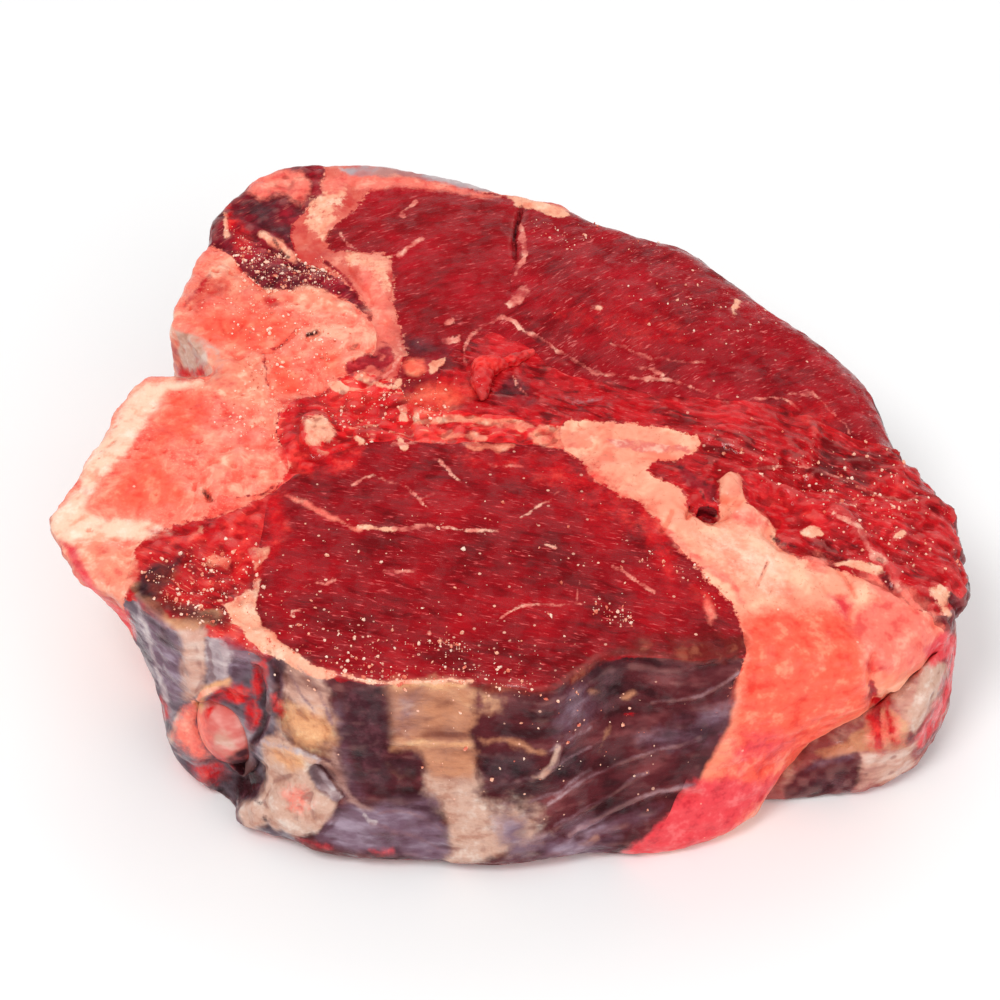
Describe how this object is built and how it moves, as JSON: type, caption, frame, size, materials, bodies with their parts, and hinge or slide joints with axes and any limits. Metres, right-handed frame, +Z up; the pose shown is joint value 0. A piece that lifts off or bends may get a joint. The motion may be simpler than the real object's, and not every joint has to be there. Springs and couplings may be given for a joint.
{
  "type": "porterhouse steak",
  "caption": "Thick raw porterhouse steak: sawn backbone, strip and tenderloin sides parted by seam fat, a ragged tail folded under, lying with its fresh cut face up.",
  "frame": {"origin": "centre of the footprint, on the surface the steak lies on", "axes": "+X from the backbone to the tail, +Y from the strip side to the tenderloin side, +Z up through the thickness to the fresh cut face"},
  "size_m": [0.2326, 0.2116, 0.0679],
  "materials": {
    "bone": "moist sawn bone with marrow",
    "back_muscle": "dark dried raw meat",
    "strip_loin": "moist raw meat, dry membrane on the side",
    "fat_kernel": "waxy raw fat",
    "stem_tissue": "wet sinew, marrow and fat",
    "seam_fat": "waxy raw fat",
    "side_muscle": "dark raw meat dusted with bone",
    "tenderloin": "moist raw meat",
    "rump_muscle": "moist raw meat",
    "flank_muscle": "wet torn raw meat",
    "joint_knob": "wet cartilage",
    "tail_flap": "dark meat under pale fascia",
    "loose_shred": "wet raw meat"
  },
  "bodies": {
    "root": {"bone": "bone", "back_muscle": "back_muscle", "strip_loin": "strip_loin", "fat_kernel": "fat_kernel", "stem_tissue": "stem_tissue", "seam_fat": "seam_fat", "side_muscle": "side_muscle", "tenderloin": "tenderloin", "rump_muscle": "rump_muscle", "flank_muscle": "flank_muscle", "joint_knob": "joint_knob", "tail_flap": "tail_flap", "loose_shred": "loose_shred"}
  },
  "joints": []
}
